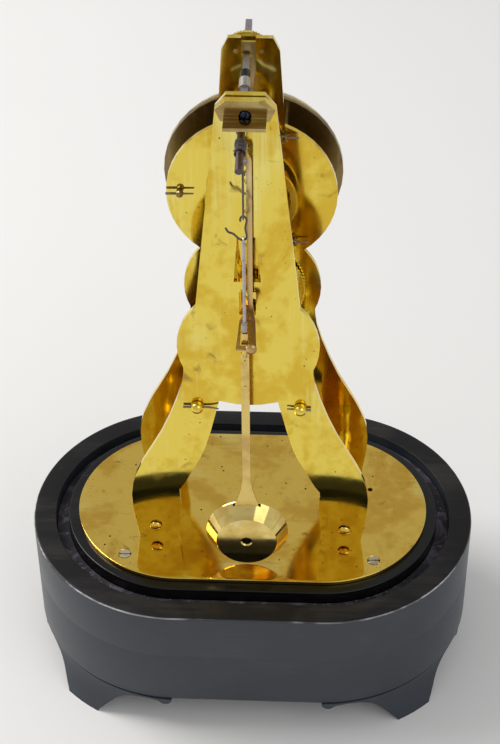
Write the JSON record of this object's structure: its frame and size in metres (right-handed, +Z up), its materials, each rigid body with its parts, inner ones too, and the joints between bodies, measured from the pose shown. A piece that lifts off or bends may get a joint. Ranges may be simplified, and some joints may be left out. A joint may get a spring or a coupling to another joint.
{
  "type": "skeleton clock",
  "caption": "Open brass clock movement between two shaped plates on an ebonised oval plinth, with a silk-hung pendulum behind and a round dial in front.",
  "frame": {"origin": "centre of the plinth on the table, under its feet", "axes": "+Z up; the dial faces -Y and the pendulum hangs on the +Y side; +X to the right seen from the dial's side"},
  "size_m": [0.185, 0.1294, 0.2803],
  "materials": {
    "ebonised_wood": "satin",
    "polished_wood": "gloss",
    "velvet": "matte",
    "brass": "polished",
    "brass_warm": "polished",
    "brass_pale": "satin",
    "steel": "satin",
    "blued_steel": "polished",
    "enamel": "gloss",
    "silk": "matte"
  },
  "bodies": {
    "frame": {"plinth_lower": "ebonised_wood", "plinth_rim": "ebonised_wood", "plinth_core": "polished_wood", "groove_lining": "velvet", "foot_rear_left": "ebonised_wood", "foot_rear_right": "ebonised_wood", "foot_front_left": "ebonised_wood", "foot_front_right": "ebonised_wood", "base_plate": "brass_warm", "base_screw_left": "steel", "base_screw_right": "steel", "back_plate": "brass", "front_plate": "brass", "pillar_left": "brass", "pillar_right": "brass", "pillar_pin_left": "steel", "pillar_pin_right": "steel", "dial_pin_1": "steel", "dial_pin_2": "steel", "dial_pin_3": "steel", "foot_pillar_left": "brass", "foot_pillar_right": "brass", "leg_screw_rear_left": "brass_warm", "leg_screw_rear_right": "brass_warm", "leg_screw_front_left": "brass_warm", "leg_screw_front_right": "brass_warm", "click_screw": "blued_steel", "click_spring": "blued_steel", "pivot_bridge": "brass", "dial_back": "brass", "dial_enamel": "enamel", "dial_bezel": "brass", "suspension_cock": "brass", "cock_screw": "blued_steel", "regulator_bridge": "brass_pale"},
    "barrel": {"mainspring_barrel": "brass", "barrel_cover": "brass_pale", "mainspring": "steel"},
    "winding_arbor": {"barrel_arbor": "steel", "ratchet_wheel": "steel"},
    "click_lever": {"click": "steel"},
    "intermediate": {"intermediate_wheel": "brass"},
    "centre": {"centre_wheel": "brass", "cannon_pinion": "steel", "minute_hand": "blued_steel"},
    "minute_work": {"minute_wheel": "brass"},
    "hour_work": {"hour_wheel": "brass", "hour_hand": "blued_steel"},
    "third": {"third_wheel": "brass"},
    "escape": {"escape_wheel": "brass"},
    "anchor_and_crutch": {"pallet_anchor": "steel", "crutch": "brass"},
    "pendulum": {"silk_loop": "silk", "suspension_hook": "steel", "pendulum_hanger": "steel", "pendulum_rod": "brass_pale", "pendulum_bob": "brass"},
    "regulator": {"regulating_arbor": "steel", "regulator_wheel": "brass", "silk_winding": "silk"}
  },
  "joints": [
    {"name": "centre_spin", "type": "hinge", "parent": "frame", "child": "centre", "pos_m": [0, 0, 0.2135], "axis": [0, 1, 0], "continuous": true},
    {"name": "barrel_spin", "type": "hinge", "parent": "frame", "child": "barrel", "pos_m": [0, 0, 0.1699], "axis": [0, 1, 0], "continuous": true},
    {"name": "intermediate_spin", "type": "hinge", "parent": "frame", "child": "intermediate", "pos_m": [0, 0, 0.193], "axis": [0, 1, 0], "continuous": true},
    {"name": "third_spin", "type": "hinge", "parent": "frame", "child": "third", "pos_m": [0, 0, 0.2323], "axis": [0, 1, 0], "continuous": true},
    {"name": "escape_spin", "type": "hinge", "parent": "frame", "child": "escape", "pos_m": [0, 0, 0.245], "axis": [0, 1, 0], "continuous": true},
    {"name": "minute_wheel_spin", "type": "hinge", "parent": "frame", "child": "minute_work", "pos_m": [0.00547, 0, 0.20396], "axis": [0, 1, 0], "continuous": true},
    {"name": "hour_hand_spin", "type": "hinge", "parent": "frame", "child": "hour_work", "pos_m": [0, 0, 0.2135], "axis": [0, 1, 0], "continuous": true},
    {"name": "winding_spin", "type": "hinge", "parent": "frame", "child": "winding_arbor", "pos_m": [0, 0, 0.1699], "axis": [0, 1, 0], "continuous": true},
    {"name": "click_lift", "type": "hinge", "parent": "frame", "child": "click_lever", "pos_m": [0.01139, -0.0212, 0.17171], "axis": [0, 1, 0], "range_deg": [0, 8], "stiffness_Nm_per_rad": 0.002, "springref_deg": -11.46},
    {"name": "pendulum_swing", "type": "hinge", "parent": "frame", "child": "pendulum", "pos_m": [0.0004, 0.0345, 0.2606], "axis": [0, 1, 0], "range_deg": [-5, 5]},
    {"name": "crutch_swing", "type": "hinge", "parent": "frame", "child": "anchor_and_crutch", "pos_m": [0, 0.0256, 0.2575], "axis": [0, 1, 0], "range_deg": [-5.3, 5.3]},
    {"name": "regulator_turn", "type": "hinge", "parent": "frame", "child": "regulator", "pos_m": [0.0015, 0, 0.2682], "axis": [0, -0.9882, 0.1532], "range_deg": [-180, 180]}
  ],
  "couplings": [
    {"joint": "barrel_spin", "follows": "centre_spin", "ratio": 0.017857},
    {"joint": "intermediate_spin", "follows": "centre_spin", "ratio": -0.14286},
    {"joint": "third_spin", "follows": "centre_spin", "ratio": -12},
    {"joint": "escape_spin", "follows": "centre_spin", "ratio": 120},
    {"joint": "minute_wheel_spin", "follows": "centre_spin", "ratio": -0.33333},
    {"joint": "hour_hand_spin", "follows": "centre_spin", "ratio": 0.083333},
    {"joint": "crutch_swing", "follows": "pendulum_swing", "ratio": 1.0424}
  ]
}
